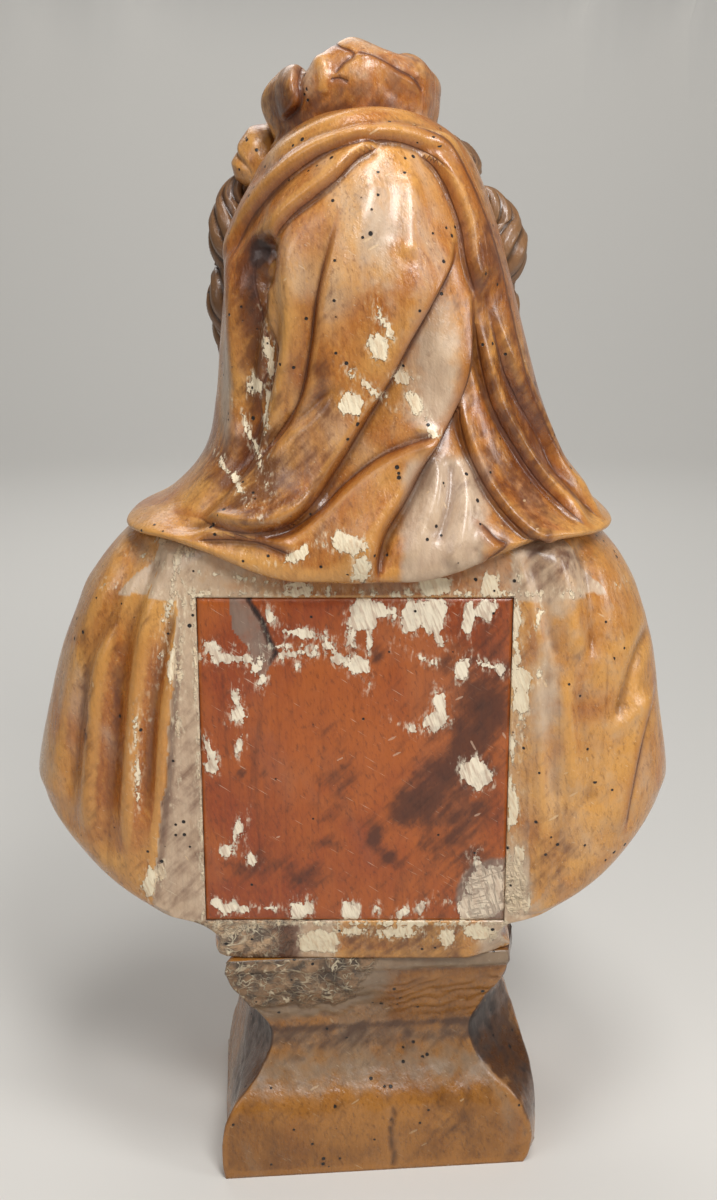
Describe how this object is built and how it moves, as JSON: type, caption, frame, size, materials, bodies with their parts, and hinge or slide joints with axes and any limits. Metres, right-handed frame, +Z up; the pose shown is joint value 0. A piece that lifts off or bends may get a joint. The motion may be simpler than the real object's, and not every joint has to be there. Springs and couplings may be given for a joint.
{
  "type": "reliquary bust",
  "caption": "Carved wooden reliquary bust of a crowned, veiled woman, hollowed behind a let-in back board, with an oval relic opening in the breast, on a moulded socle.",
  "frame": {"origin": "middle of the socle's underside, on the surface that the bust stands on", "axes": "+Z up, -Y to the front of the figure, +X to the figure's left; the flat back with its board faces +Y"},
  "size_m": [0.3794, 0.2257, 0.6556],
  "materials": {
    "carving": "old wax, worn and patched",
    "board": "red-brown stain, smeared with filler",
    "socle": "old wax over gouge marks"
  },
  "bodies": {
    "root": {"bust": "carving", "back_board": "board", "socle": "socle"}
  },
  "joints": []
}
